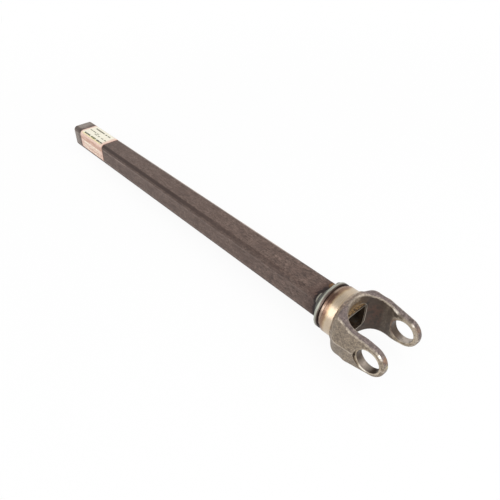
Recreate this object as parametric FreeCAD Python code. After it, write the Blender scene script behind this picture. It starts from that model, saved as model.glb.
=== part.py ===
import FreeCAD, Part
import math
import os

# Power take-off half shaft: a forged yoke welded to the end of a square telescoping tube.
# Millimetres. The origin is the centre of the universal joint. +X points out of the fork,
# the tube runs towards -X, the cross bores lie along Y, and +Z is up.

# Square tube
TUBE_SIDE = 38.1
TUBE_WALL = 3.05
TUBE_CORNER = 7.0
TUBE_LENGTH = 664.0
TUBE_NOSE = 4.8
SEAT_CLEARANCE = 0.1

# Cross bores and round eyes of the fork. The gap is the half width between the eyes' inner faces.
BORE_R = 15.1
BORE_CHAMFER = 0.9
EYE_R = 21.0
EYE_HALF_GAP = 27.4
EYE_THICKNESS = 11.3
OUTER_FACING_WIDTH = 2.3
INNER_FACING_DEPTH = 0.4
INNER_FACING_RIM = 0.4

# Throat between the ears, seen from above
THROAT_DEPTH = 51.8
THROAT_RELIEF = 2.6
THROAT_BOTTOM_R = 40.0
THROAT_CORNER_R = 24.0
THROAT_RAMP_START = 6.0
THROAT_EDGE_R = 3.0

# Outside of the fork, seen from above: the parting ridge, its taper and the shoulder
RIDGE_OVER_FACING = 0.5
EAR_TAPER = math.radians(5.0)
WEB_THICKNESS = 7.0
SHOULDER_START = 2.0
SHOULDER_LENGTH = 16.0

# Outside of the fork, seen from the side: the flared ears and the crown over the throat
EAR_FLARE = math.radians(8.5)
CROWN_RISE = 1.4
CROWN_START = 3.3
CROWN_LENGTH = 17.5

# Sections of the fork across the shaft
DRAFT = math.radians(10.0)
HUB_DRAFT = math.radians(2.0)
SHOULDER_LEAN = math.radians(7.0)
SHOULDER_LEAN_SPREAD = 1.7
EAR_CROWN = math.radians(0.4)
HUB_CROWN = math.radians(26.0)
CROWN_SPREAD = 1.1
EAR_EDGE_R = 3.2
HUB_EDGE_INSET = 2.5
EDGE_SHARPENING = 5
STATIONS = 14
STATION_CROWDING = 1.35

# Hub turned behind the fork: the root where it leaves the forging, land, groove and lip
ROOT_R = 33.5
LAND_R = 32.6
LAND_LENGTH = 16.8
LAND_CHAMFER = 0.9
GROOVE_R = 29.9
GROOVE_WIDTH = 5.0
LIP_R = 32.0
LIP_WIDTH = 5.4
LIP_BEVEL = 1.2

# Weld bead round the tube, behind the lip
WELD_LENGTH = 6.8
WELD_TOE = 0.7
WELD_CORNER_COVER = 1.16
WELD_INSET = 0.4

# Paper label near the far end of the tube
LABEL_END_GAP = 24.0
LABEL_LENGTH = 78.0
LABEL_THICKNESS = 0.25
LABEL_EDGE_Z = -11.6
LABEL_FAR_ANGLE = math.radians(30.0)

# Length of cutting bodies that pass right through the part
REACH = 60.0

# Places that follow from the sizes
EYE_OUTER_Y = EYE_HALF_GAP + EYE_THICKNESS
THROAT_Y = EYE_HALF_GAP + THROAT_RELIEF
ROOT_X = -THROAT_DEPTH - WEB_THICKNESS
GROOVE_FRONT_X = ROOT_X - LAND_LENGTH
GROOVE_BACK_X = GROOVE_FRONT_X - GROOVE_WIDTH
LIP_BACK_X = GROOVE_BACK_X - LIP_WIDTH
TUBE_NEAR_X = TUBE_NOSE - THROAT_DEPTH
TUBE_FAR_X = TUBE_NEAR_X - TUBE_LENGTH


def vec(x, y, z=0.0):
    return FreeCAD.Vector(x, y, z)


def line(a, b):
    return Part.makeLine(a, b)


def arc(a, middle, b):
    return Part.Arc(a, middle, b).toShape()


def turned(profile, axis):
    """Body of revolution about an axis through the origin, from points in the XY plane."""
    return Part.Face(Part.Wire(profile)).revolve(vec(0, 0, 0), axis, 360)


def eye_cylinder(radius, y_from, y_to):
    low = min(y_from, y_to)
    return Part.makeCylinder(radius, abs(y_to - y_from), vec(0, low, 0), vec(0, 1, 0))


def rounded_square_wire(half, radius, x):
    """Rounded square about the shaft axis, in the plane at x."""
    flat = half - radius
    diagonal = flat + radius * math.sqrt(0.5)
    edges = []
    for quarter in range(4):
        turn = FreeCAD.Rotation(vec(1, 0, 0), 90.0 * quarter)
        side = [vec(x, half, -flat), vec(x, half, flat)]
        corner = [vec(x, half, flat), vec(x, diagonal, diagonal), vec(x, flat, half)]
        edges.append(line(*[turn.multVec(p) for p in side]))
        edges.append(arc(*[turn.multVec(p) for p in corner]))
    return Part.Wire(edges)


def rounded_square_bar(half, radius, x_from, x_to):
    start = Part.Face(rounded_square_wire(half, radius, x_from))
    return start.extrude(vec(x_to - x_from, 0, 0))


def share(x, start, length):
    """How far x is along a stretch, held between 0 and 1."""
    return min(1.0, max(0.0, (x - start) / length))


def ease(t):
    return t * t * (3.0 - 2.0 * t)


def quarter_wave(t):
    return math.sin(math.pi / 2 * t)


def ridge_y(x):
    """Half width of the fork at its parting line."""
    ear = EYE_OUTER_Y + RIDGE_OVER_FACING + (EYE_R - x) * math.tan(EAR_TAPER)
    return ROOT_R + (ear - ROOT_R) * quarter_wave(share(x, ROOT_X + SHOULDER_START, SHOULDER_LENGTH))


def crest_z(x):
    """Half height of the fork in the middle."""
    ear = EYE_R / math.cos(EAR_FLARE) - x * math.tan(EAR_FLARE)
    crown = ROOT_R + CROWN_RISE
    return crown + (ear - crown) * ease(share(x, ROOT_X + CROWN_START, CROWN_LENGTH))


def fork_section(x):
    """Section of the forging across the shaft: drafted sides, round edges and a crowned top."""
    start = ROOT_X + SHOULDER_START
    t = share(x, start, SHOULDER_LENGTH)
    flatten = ease(share(x, start, CROWN_SPREAD * SHOULDER_LENGTH))
    lean_share = share(x, start, SHOULDER_LEAN_SPREAD * SHOULDER_LENGTH)
    lean = SHOULDER_LEAN * math.sin(math.pi * lean_share)
    draft = HUB_DRAFT + (DRAFT - HUB_DRAFT) * quarter_wave(t) + lean
    slope = HUB_CROWN + (EAR_CROWN - HUB_CROWN) * flatten
    radius = EAR_EDGE_R + (ROOT_R - HUB_EDGE_INSET - EAR_EDGE_R) * (1.0 - t) ** EDGE_SHARPENING
    width = ridge_y(x)
    height = crest_z(x)
    spread = math.sin(slope) * math.cos(draft) - (1.0 - math.cos(slope)) * math.sin(draft)
    bow = (width * math.cos(draft) - radius - (height - radius) * math.sin(draft)) / spread
    centre = vec(x, bow * math.sin(slope), height - radius - bow * (1.0 - math.cos(slope)))
    steep = math.pi / 2 - slope

    def on_edge(angle, y_sign, z_sign):
        y = centre.y + radius * math.cos(angle)
        z = centre.z + radius * math.sin(angle)
        return vec(x, y_sign * y, z_sign * z)

    edges = []
    for z_sign in (1, -1):
        right, left = z_sign, -z_sign
        angles = (draft, (draft + steep) / 2, steep)
        rise = [on_edge(angle, right, z_sign) for angle in angles]
        fall = [on_edge(angle, left, z_sign) for angle in reversed(angles)]
        edges.append(line(vec(x, right * width, 0), rise[0]))
        edges.append(arc(*rise))
        edges.append(arc(rise[2], vec(x, 0, z_sign * height), fall[0]))
        edges.append(arc(*fall))
        edges.append(line(fall[2], vec(x, left * width, 0)))
    return Part.Wire(edges)


def fork_blank():
    """Outside of the forging, lofted from the round hub to the flat ears."""
    length = EYE_R + EAR_EDGE_R - ROOT_X
    steps = [(i / (STATIONS - 1)) ** STATION_CROWDING for i in range(STATIONS)]
    return Part.makeLoft([fork_section(ROOT_X + length * step) for step in steps], True, False)


def eye_ends():
    """Limit of both ears: a body turned about the cross bore, and the open shank behind it."""
    centre_y = ridge_y(0.0)
    rim_r = EYE_R - EAR_EDGE_R
    rim_y = centre_y - rim_r * math.tan(DRAFT) - EAR_EDGE_R / math.cos(DRAFT)
    steep = math.pi / 2 - DRAFT
    corner = [
        vec(rim_r + EAR_EDGE_R * math.cos(angle), rim_y + EAR_EDGE_R * math.sin(angle))
        for angle in (0.0, steep / 2, steep)
    ]
    mirrored = [vec(p.x, -p.y) for p in corner]
    far = vec(0, centre_y)
    near = vec(0, -centre_y)
    profile = [
        line(mirrored[0], corner[0]),
        arc(*corner),
        line(corner[2], far),
        line(far, near),
        line(near, mirrored[2]),
        arc(mirrored[2], mirrored[1], mirrored[0]),
    ]
    shank_length = EYE_R * math.sin(EAR_FLARE) - ROOT_X + 1.0
    shank = Part.makeBox(shank_length, 2 * REACH, 2 * REACH, vec(ROOT_X - 1.0, -REACH, -REACH))
    return turned(profile, vec(0, 1, 0)).fuse(shank)


def throat_side():
    """Half of the throat's outline, from the open end to the middle of its bottom."""
    gap = THROAT_BOTTOM_R - THROAT_CORNER_R
    meet = math.asin((THROAT_Y - THROAT_CORNER_R) / gap)
    bottom_x = THROAT_BOTTOM_R - THROAT_DEPTH
    corner = vec(bottom_x - gap * math.cos(meet), gap * math.sin(meet))
    half_turn = (math.pi / 2 + meet) / 2

    run = -THROAT_RAMP_START - corner.x
    bend_r = (run * run + THROAT_RELIEF * THROAT_RELIEF) / (4 * THROAT_RELIEF)
    bend = math.asin(run / 2 / bend_r) / 2
    easing = vec(bend_r * math.sin(bend), bend_r * (1.0 - math.cos(bend)))

    eye_end = vec(-THROAT_RAMP_START, EYE_HALF_GAP)
    ramp_end = vec(corner.x, THROAT_Y)
    ramp_middle = (eye_end + ramp_end) / 2
    bottom_end = vec(bottom_x - THROAT_BOTTOM_R * math.cos(meet), THROAT_BOTTOM_R * math.sin(meet))
    on_corner = vec(-math.cos(half_turn), math.sin(half_turn)) * THROAT_CORNER_R
    return [
        [vec(REACH, EYE_HALF_GAP), eye_end],
        [eye_end, eye_end + vec(-easing.x, easing.y), ramp_middle],
        [ramp_middle, ramp_end + vec(easing.x, -easing.y), ramp_end],
        [ramp_end, corner + on_corner, bottom_end],
    ]


def throat():
    """Space between the ears: flat eyes, an easing, round corners and a shallow round bottom."""
    edges = []
    for piece in throat_side():
        for y_sign in (1, -1):
            points = [vec(p.x, y_sign * p.y, -REACH) for p in piece]
            edges.append(line(*points) if len(points) == 2 else arc(*points))
    far_end = throat_side()[-1][-1]
    open_end = throat_side()[0][0]
    bottom = [vec(far_end.x, far_end.y, -REACH), vec(far_end.x, -far_end.y, -REACH)]
    mouth = [vec(open_end.x, open_end.y, -REACH), vec(open_end.x, -open_end.y, -REACH)]
    edges.append(arc(bottom[0], vec(-THROAT_DEPTH, 0, -REACH), bottom[1]))
    edges.append(line(*mouth))
    wire = Part.Wire(Part.__sortEdges__(edges))
    return Part.Face(wire).extrude(vec(0, 0, 2 * REACH))


def rim_of_cut(shape, tool):
    """Edges where the outside of shape meets the wall that tool cut, without the wall's own seams."""
    skin = tool.Shells[0]
    chosen = []
    for edge in shape.Edges:
        span = edge.LastParameter - edge.FirstParameter
        points = [edge.valueAt(edge.FirstParameter + part * span) for part in (0.0, 0.5, 1.0)]
        on_wall = all(skin.distToShape(Part.Vertex(p))[0] < 0.001 for p in points)
        upright = points[0].distanceToPoint(points[2]) - abs(points[0].z - points[2].z) < 0.001
        if on_wall and not upright:
            chosen.append(edge)
    return chosen


def hub():
    """Turned hub behind the fork: land, groove for the guard's bearing ring, and lip."""
    front_x = ROOT_X + WEB_THICKNESS / 2
    outline = [
        (front_x, 0.0),
        (front_x, LAND_R),
        (GROOVE_FRONT_X + LAND_CHAMFER, LAND_R),
        (GROOVE_FRONT_X, LAND_R - LAND_CHAMFER),
        (GROOVE_FRONT_X, GROOVE_R),
        (GROOVE_BACK_X, GROOVE_R),
        (GROOVE_BACK_X, LIP_R),
        (LIP_BACK_X + LIP_BEVEL, LIP_R),
        (LIP_BACK_X, LIP_R - LIP_BEVEL),
        (LIP_BACK_X, 0.0),
    ]
    points = [vec(x, r) for x, r in outline]
    return turned(Part.makePolygon(points + points[:1]).Edges, vec(1, 0, 0))


def eye_machining(side):
    """Cutters for one eye, on the +Y or -Y side: bore, both facings and the bore's outer chamfer."""
    chamfer_y = side * (EYE_OUTER_Y - BORE_CHAMFER)
    outer_facing_r = BORE_R + OUTER_FACING_WIDTH
    inner_facing_r = EYE_R - THROAT_EDGE_R - INNER_FACING_RIM
    return [
        eye_cylinder(BORE_R, 0, side * REACH),
        eye_cylinder(outer_facing_r, side * EYE_OUTER_Y, side * REACH),
        eye_cylinder(inner_facing_r, 0, side * (EYE_HALF_GAP + INNER_FACING_DEPTH)),
        Part.makeCone(BORE_R, BORE_R + BORE_CHAMFER, BORE_CHAMFER, vec(0, chamfer_y, 0), vec(0, side, 0)),
    ]


def yoke():
    """Forged fork with its turned hub, square seat, cross bores and facings."""
    gap = throat()
    body = fork_blank().common(eye_ends()).cut(gap)
    body = body.makeFillet(THROAT_EDGE_R, rim_of_cut(body, gap))
    body = body.fuse(hub())
    half = TUBE_SIDE / 2 + SEAT_CLEARANCE
    seat = rounded_square_bar(half, TUBE_CORNER + SEAT_CLEARANCE, LIP_BACK_X - 1.0, EYE_R)
    return body.cut(eye_machining(1) + eye_machining(-1) + [seat])


def square_tube():
    """Open square tube, from just inside the fork's throat to its far end."""
    outside = rounded_square_bar(TUBE_SIDE / 2, TUBE_CORNER, TUBE_FAR_X, TUBE_NEAR_X)
    inner_half = TUBE_SIDE / 2 - TUBE_WALL
    inside = rounded_square_bar(inner_half, TUBE_CORNER - TUBE_WALL, TUBE_FAR_X - 1.0, TUBE_NEAR_X + 1.0)
    return outside.cut(inside)


def weld_bead():
    """Fillet weld between the tube and the back of the lip, square at its toe and round at the lip."""
    toe_x = LIP_BACK_X - WELD_LENGTH
    toe_half = TUBE_SIDE / 2 + WELD_TOE
    root_half = LIP_R - LIP_BEVEL
    root_radius = TUBE_CORNER + root_half - TUBE_SIDE / 2
    tube_corner_reach = math.sqrt(2.0) * (TUBE_SIDE / 2 - TUBE_CORNER) + TUBE_CORNER
    back_r = tube_corner_reach + WELD_CORNER_COVER
    front_r = root_half - WELD_INSET
    pyramid = Part.makeLoft([
        rounded_square_wire(toe_half, TUBE_CORNER + WELD_TOE, toe_x),
        rounded_square_wire(root_half, root_radius, LIP_BACK_X),
    ], True, True)
    cone = Part.makeCone(back_r, front_r, WELD_LENGTH, vec(toe_x, 0, 0), vec(1, 0, 0))
    tube = rounded_square_bar(TUBE_SIDE / 2, TUBE_CORNER, toe_x - 1.0, LIP_BACK_X + 1.0)
    return pyramid.common(cone).cut(tube)


def paper_label():
    """Label wrapped over the tube: round the far top corner, across the top and down the near side."""
    half = TUBE_SIDE / 2
    far_x = TUBE_FAR_X + LABEL_END_GAP
    near_x = far_x + LABEL_LENGTH
    outside = rounded_square_bar(half + LABEL_THICKNESS, TUBE_CORNER + LABEL_THICKNESS, far_x, near_x)
    inside = rounded_square_bar(half, TUBE_CORNER, far_x - 1.0, near_x + 1.0)
    corner = half - TUBE_CORNER
    window = [
        vec(far_x, corner, corner),
        vec(far_x, corner + REACH * math.sin(LABEL_FAR_ANGLE), corner + REACH * math.cos(LABEL_FAR_ANGLE)),
        vec(far_x, -REACH, REACH),
        vec(far_x, -REACH, LABEL_EDGE_Z),
        vec(far_x, 0, LABEL_EDGE_Z),
    ]
    wrap = Part.Face(Part.makePolygon(window + window[:1])).extrude(vec(LABEL_LENGTH, 0, 0))
    return outside.cut(inside).common(wrap)


def main():
    os.makedirs("parts", exist_ok=True)
    nodes = {
        "yoke": yoke(),
        "square_tube": square_tube(),
        "weld_bead": weld_bead(),
        "paper_label": paper_label(),
    }
    for name, shape in nodes.items():
        print(name, "valid", shape.isValid(), "solids", len(shape.Solids), "mm3", round(shape.Volume))
        shape.exportStep("parts/" + name + ".step")


if __name__ == "__main__":
    main()
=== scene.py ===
import math
from contextlib import contextmanager

import bmesh
import bpy
import numpy as np
from bpy.props import FloatProperty, FloatVectorProperty, IntProperty, PointerProperty
from mathutils import Euler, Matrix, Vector


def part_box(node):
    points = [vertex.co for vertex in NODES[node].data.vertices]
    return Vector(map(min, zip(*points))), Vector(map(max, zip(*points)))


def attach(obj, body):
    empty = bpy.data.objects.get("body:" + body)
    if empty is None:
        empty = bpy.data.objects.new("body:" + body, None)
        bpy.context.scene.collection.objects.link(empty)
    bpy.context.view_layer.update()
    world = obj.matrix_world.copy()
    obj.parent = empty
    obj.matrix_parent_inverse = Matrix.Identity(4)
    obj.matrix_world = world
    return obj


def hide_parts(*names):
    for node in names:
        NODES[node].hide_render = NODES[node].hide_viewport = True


bl_info = {
    "name": "Power take-off shaft",
    "version": (1, 0, 0),
    "blender": (4, 5, 0),
    "location": "3D View > Sidebar > Shaft",
    "description": "Finishes a forged yoke on a square tube, with its weld, its label and the studio",
    "category": "Object",
}

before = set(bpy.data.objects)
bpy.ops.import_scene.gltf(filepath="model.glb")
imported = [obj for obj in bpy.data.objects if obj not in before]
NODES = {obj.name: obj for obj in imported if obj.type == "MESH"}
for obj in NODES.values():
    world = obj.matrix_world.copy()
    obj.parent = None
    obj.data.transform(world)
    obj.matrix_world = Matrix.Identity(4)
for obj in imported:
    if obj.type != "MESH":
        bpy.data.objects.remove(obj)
MM = 0.001


def tone(red, green, blue):
    """Scene-linear colour of an 8-bit display colour."""
    parts = [c / 255 for c in (red, green, blue)]
    return tuple(c / 12.92 if c <= 0.04045 else ((c + 0.055) / 1.055) ** 2.4 for c in parts)


def scaled(shade, factor):
    """Colour made lighter or darker by factor."""
    return [min(part * factor, 1.0) for part in shade]


def colour(name, description, red, green, blue):
    return FloatVectorProperty(
        name=name, description=description, subtype="COLOR", size=3, min=0, max=1,
        default=tone(red, green, blue))


def length(name, description, value):
    return FloatProperty(name=name, description=description, unit="LENGTH", subtype="DISTANCE",
                         default=value * MM, min=0, precision=5)


def light(name, description, value, most=1000, unit="NONE"):
    return FloatProperty(name=name, description=description, default=value, min=0, max=most, unit=unit)


# Lowest and highest corners of the pieces that the finish follows, read from the frame
TUBE_LOW, TUBE_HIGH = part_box("square_tube")
WELD_LOW, WELD_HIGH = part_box("weld_bead")
LABEL_LOW, LABEL_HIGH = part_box("paper_label")

# Angles over which an edge of the yoke is sharp, anywhere and on the parting ridge, and how close to a
# plane a point has to be to lie in it
SHARP_ANGLE, PARTING_ANGLE = math.radians(30), math.radians(8)
IN_PLANE = 0.02 * MM
SAME_PLACE = 1e-7

# Tints of single stains, streaks and lines, and of painted highlights and painted shade
FORGING_STAIN, SEAT_SHADE, SCORCH = tone(62, 50, 40), tone(36, 27, 25), tone(134, 106, 76)
NOSE_HIGHLIGHT, GLINT = tone(204, 192, 150), tone(242, 234, 222)
HUB_STREAK, LIP_RIM_HIGHLIGHT, LIP_CORNER_SHADE = tone(118, 94, 88), tone(214, 216, 202), tone(112, 97, 91)
TUBE_PALE, TUBE_SCUFF_HIGHLIGHT, FAR_CORNER_HIGHLIGHT = tone(128, 112, 102), tone(160, 144, 134), tone(206, 188, 176)
TOE_STAIN, SPATTER, TUBE_INSIDE_SHADE = tone(28, 13, 11), tone(168, 164, 150), tone(42, 35, 31)
END_BROWN, END_GOLD = tone(62, 48, 38), tone(150, 122, 84)
LABEL_END_LINE, LABEL_SOIL = tone(186, 130, 116), tone(206, 176, 156)

# Heat tints along the hub, and painted shade on the lip's front and groove wall (0.20 to 0.247): share of the
# way from the lip to the forging, and the colour there
HEAT_TINTS_AND_SHADE = (
    (0.0, (170, 172, 160)), (1.0, (186, 162, 128)), (0.17, (172, 172, 160)), (0.20, (104, 94, 86)),
    (0.247, (92, 80, 72)), (0.27, (160, 140, 126)), (0.37, (168, 146, 128)), (0.43, (146, 120, 102)),
    (0.51, (142, 116, 96)), (0.56, (164, 138, 112)), (0.61, (190, 168, 138)), (0.67, (198, 180, 157)),
    (0.88, (198, 180, 158)),
)

# The weld's mesh: points in each ripple and along the section, where on the section the outer skin and
# the leg down the lip end, and how softly its flats meet its round limit
POINTS_PER_RIPPLE = 8.0
SECTION_POINTS = 23
SKIN_END, LIP_END = 0.72, 0.86
WELD_CORNER_BLEND = 1.2 * MM

# Rows of print: distance from the label's far end, place across the tube, length and height in
# millimetres, and the level of the row's noise up to which a mark is left out
PRINT_ROWS = (
    (10.6, -13.9, 21.5, 3.6, 0.0),
    (33.4, -13.9, 17.5, 3.6, 0.0),
    (52.6, -13.9, 22.0, 3.6, 0.0),
    (8.5, -0.8, 34.0, 2.6, 0.40),
    (30.0, -4.4, 42.0, 2.8, 0.36),
    (13.0, 8.6, 31.0, 3.4, 0.0),
    (47.0, 8.4, 17.0, 3.0, 0.36),
)
SMALLEST_MARK, LARGEST_MARK = (0.62, 0.75, 1.0), (0.95, 1.0, 1.0)

# Lamps: name, setting that holds the power, sides, direction that the light comes from, point that it
# is aimed at, and distance
LAMPS = (
    ("top_softbox", "top_light", (1.3, 1.1), (0.45, 0.3, 0.84), (-0.2, 0, 0), 1.7),
    ("front_strip", "strip_light", (0.35, 1.3), (-0.4, -0.84, 0.36), (-0.05, 0, 0), 1.5),
    ("side_softbox", "side_light", (1.0, 0.8), (0.75, -0.3, 0.6), (-0.2, 0, 0), 1.6),
)


class YokeFinish(bpy.types.PropertyGroup):
    """Colours and sizes of the forged yoke"""

    skin: colour("Forged skin", "Brown-grey scale on the sides of the forging", 146, 132, 114)
    skin_dark: colour("Dark scale", "Darker specks and patches of the scale", 96, 84, 76)
    # Colour of the faces that point up or down
    band: colour("Edge scale", "Purple-grey scale on the faces that the dies drew", 112, 99, 95)
    # Painted shade: colour of the throat's walls
    throat_shade: colour("Throat", "Dark scale inside the throat", 66, 53, 45)
    straw: colour("Straw scale", "Brown-gold scale over the tube on the throat's floor", 142, 114, 74)
    rust: colour("Rust", "Red-brown stain beside the tube's end", 92, 62, 50)
    nose_rust: colour("Nose rust", "Gold-brown rust on the round ends of the ears", 156, 112, 66)
    # Rubbed bare steel, also painted highlight along the edges
    worn: colour("Worn edge", "Bare steel where the forging's edges are rubbed", 208, 195, 178)
    bored: colour("Bored steel", "Brown-grey steel inside the bores", 84, 70, 58)
    # Painted light on the lower half of the bores
    bore_lit_below: colour("Bored steel below", "Brighter lower half of the bores", 190, 178, 166)
    faced: colour("Faced steel", "Pale rings faced round the bores", 190, 176, 156)
    # Painted highlight on the near ring
    faced_highlight: colour("Bright faced steel", "Bright low part of the near ring", 252, 244, 230)
    faced_gold: colour("Gold spots", "Gold-brown spots on the rings", 146, 122, 92)
    # Painted shade on the rings inside the ears
    faced_inside_shade: colour("Faced steel inside", "Browner rings on the inside of the ears", 134, 112, 97)
    # Painted shade on the groove's wall and in creases
    groove_wall_shade: colour("Groove wall", "Dark burnt wall of the groove, on the lip", 80, 68, 63)
    burnt: colour("Burnt hub", "Purple-brown patches that the weld's heat left on the hub", 106, 80, 68)
    root_x: FloatProperty(name="Forging ends", description="Place along the shaft where the hub starts",
                          unit="LENGTH", subtype="DISTANCE", default=-58.7 * MM, precision=5)
    bore_facing: length("Facing radius", "Radius of the machined ring round each bore", 17.45)
    inner_facing: length("Inner facing radius", "Radius of the ring on the inside of each ear", 17.65)
    inner_face: length("Inner face", "Distance of the ears' inner machined faces from the middle", 27.9)
    longest_edge: length("Longest edge", "Longest edge of the finished yoke's mesh", 1.8)
    wear_reach: length("Wear reach", "How far round a point its curvature is felt", 1.5)


class TubeFinish(bpy.types.PropertyGroup):
    """Colours and sizes of the square tube"""

    scale: colour("Mill scale", "Brown-grey scale on the flats of the tube", 112, 94, 85)
    scale_dark: colour("Dark scale", "Darker streaks and specks of the scale", 66, 50, 45)
    # Painted dark reflection along the rounded corners
    corner: colour("Corner scale", "Darker scale round the tube's corners", 60, 46, 41)
    worn: colour("Worn end", "Lighter, rubbed scale at the tube's far end", 148, 139, 132)
    burnt: colour("Burnt scale", "Dark red-brown scale beside the weld", 62, 38, 32)
    straw: colour("Straw scale", "Gold tint against the bead", 142, 104, 62)
    cut: colour("Cut face", "Bare steel of the sawn ends", 150, 140, 126)
    side: length("Side", "Width of the tube over its flats", 38.1)
    corner_radius: length("Corner radius", "Outside radius of the tube's corners", 7.0)
    burnt_length: length("Burnt length", "How far the heat of the weld darkened the tube", 24.0)


class WeldFinish(bpy.types.PropertyGroup):
    """Colours and sizes of the weld bead"""

    metal: colour("Weld metal", "Slate grey of the bead", 92, 94, 90)
    dark: colour("Weld dips", "Brown-grey between the ripples", 74, 64, 59)
    toe: colour("Weld toe", "Pale line along the edges of the bead", 164, 165, 154)
    ripples: IntProperty(name="Ripples", description="Ripples in one turn of the bead", default=84, min=8,
                         max=400)
    ripple_height: length("Ripple height", "How far each ripple stands out", 0.34)
    bulge: length("Bulge", "How far the bead bows out between its toe and its root", 0.7)
    toe_cover: length("Toe cover", "Thickness of the bead at its toe", 0.35)
    root_radius: length("Root radius", "Radius of the bead where it meets the lip", 30.3)
    back_radius: length("Back radius", "Radius that limits the bead at its toe", 25.2)


class LabelFinish(bpy.types.PropertyGroup):
    """Colours and sizes of the paper label and its print"""

    paper: colour("Paper", "Cream white of the printed field", 245, 240, 222)
    tint: colour("Tint", "Pink of the paper's ends and of its near side", 233, 203, 187)
    field_edge: colour("Field edge", "Yellower line along the near edge of the field", 240, 228, 178)
    ink: colour("Ink", "Dark green-brown of the near row of print marks", 40, 38, 26)
    green_ink: colour("Green ink", "Mid green of the near row's middle", 104, 104, 60)
    far_ink: colour("Far ink", "Grey-brown of the far row of print marks", 84, 78, 56)
    faded_ink: colour("Faded ink", "Palest row of print marks", 132, 128, 110)
    side_strip: colour("Side strip", "Darker strip of the near side, under the corner", 200, 158, 138)
    side_blocks: colour("Side blocks", "Faint pale blocks on the near side", 252, 238, 218)
    mark_pitch: length("Mark pitch", "Distance between print marks in a row", 1.7)
    mark_thickness: length("Ink thickness", "How far the marks stand on the paper", 0.04)


class StudioSettings(bpy.types.PropertyGroup):
    """Camera, lamps and floor"""

    camera_place: FloatVectorProperty(name="Camera place", description="Where the camera stands",
                                      subtype="XYZ", unit="LENGTH", size=3,
                                      default=(0.17326, -0.37820, 0.44457))
    camera_turn: FloatVectorProperty(name="Camera turn", description="Turn of the camera about X, Y and Z",
                                     subtype="EULER", unit="ROTATION", size=3,
                                     default=[math.radians(a) for a in (51.1166, -0.7405, 47.7238)])
    lens: FloatProperty(name="Lens", description="Focal length on a 36 mm sensor", unit="CAMERA",
                        default=36.441, min=1)
    floor_size: length("Floor size", "Side of the square floor", 12000)
    world_light: light("World light", "Even light from all round", 0.76)
    ceiling: light("Ceiling", "Brightness of the ceiling that metal reflects", 0.66, most=1)
    top_light: light("Top light", "Power of the softbox above", 8.5, unit="POWER")
    strip_light: light("Strip light", "Power of the strip at the front", 3.4, unit="POWER")
    side_light: light("Side light", "Power of the softbox at the side", 4, unit="POWER")


# Building node trees

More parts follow.
